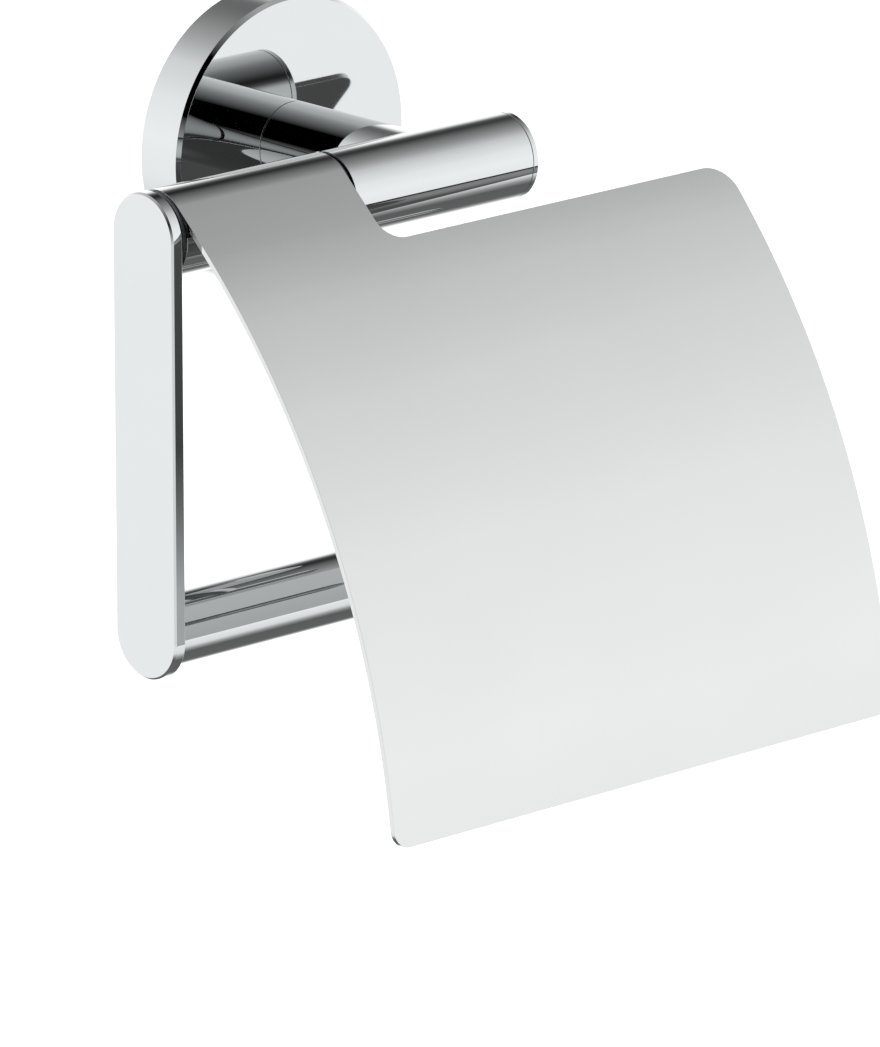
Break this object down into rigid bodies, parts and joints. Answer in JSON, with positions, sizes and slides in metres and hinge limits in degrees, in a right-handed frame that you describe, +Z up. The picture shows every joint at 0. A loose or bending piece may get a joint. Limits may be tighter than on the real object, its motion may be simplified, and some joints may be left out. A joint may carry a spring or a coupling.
{
  "type": "toilet paper holder",
  "caption": "Wall-mounted toilet paper holder with a round rosette, a post and crossbar, a side arm carrying the roll bar, and a curved cover sheet hinged on the crossbar.",
  "frame": {"origin": "centre of the rosette's back face, on the wall, midway between the two screw slots", "axes": "+Z up, +X along the bars towards their free end, +Y into the wall, so the holder stands on the -Y side"},
  "size_m": [0.1252, 0.104, 0.1265],
  "materials": {
    "chrome": "polished chrome plate on brass",
    "lid_chrome": "polished chrome plate on sheet",
    "zinc": "die-cast zinc, bare and dull",
    "steel": "zinc-plated steel",
    "brass": "turned brass",
    "nylon": "black moulded nylon"
  },
  "bodies": {
    "holder": {"rosette": "chrome", "post": "chrome", "crossbar": "chrome", "crossbar_end_cap": "chrome", "arm": "chrome", "roll_bar": "chrome", "roll_bar_end_cap": "chrome", "wall_bracket": "zinc", "rosette_grub_screw": "steel", "post_stud": "steel", "post_washer": "steel", "post_nut": "steel", "post_dowel": "steel", "roll_bar_stud": "steel", "roll_bar_insert": "brass", "hinge_spindle": "brass"},
    "cover": {"lid": "lid_chrome", "hinge_bush_left": "nylon", "hinge_bush_right": "nylon"}
  },
  "joints": [
    {"name": "cover_hinge", "type": "hinge", "parent": "holder", "child": "cover", "pos_m": [-0.0413, -0.0425, 0], "axis": [-1, 0, 0], "range_deg": [-36, 165]}
  ]
}
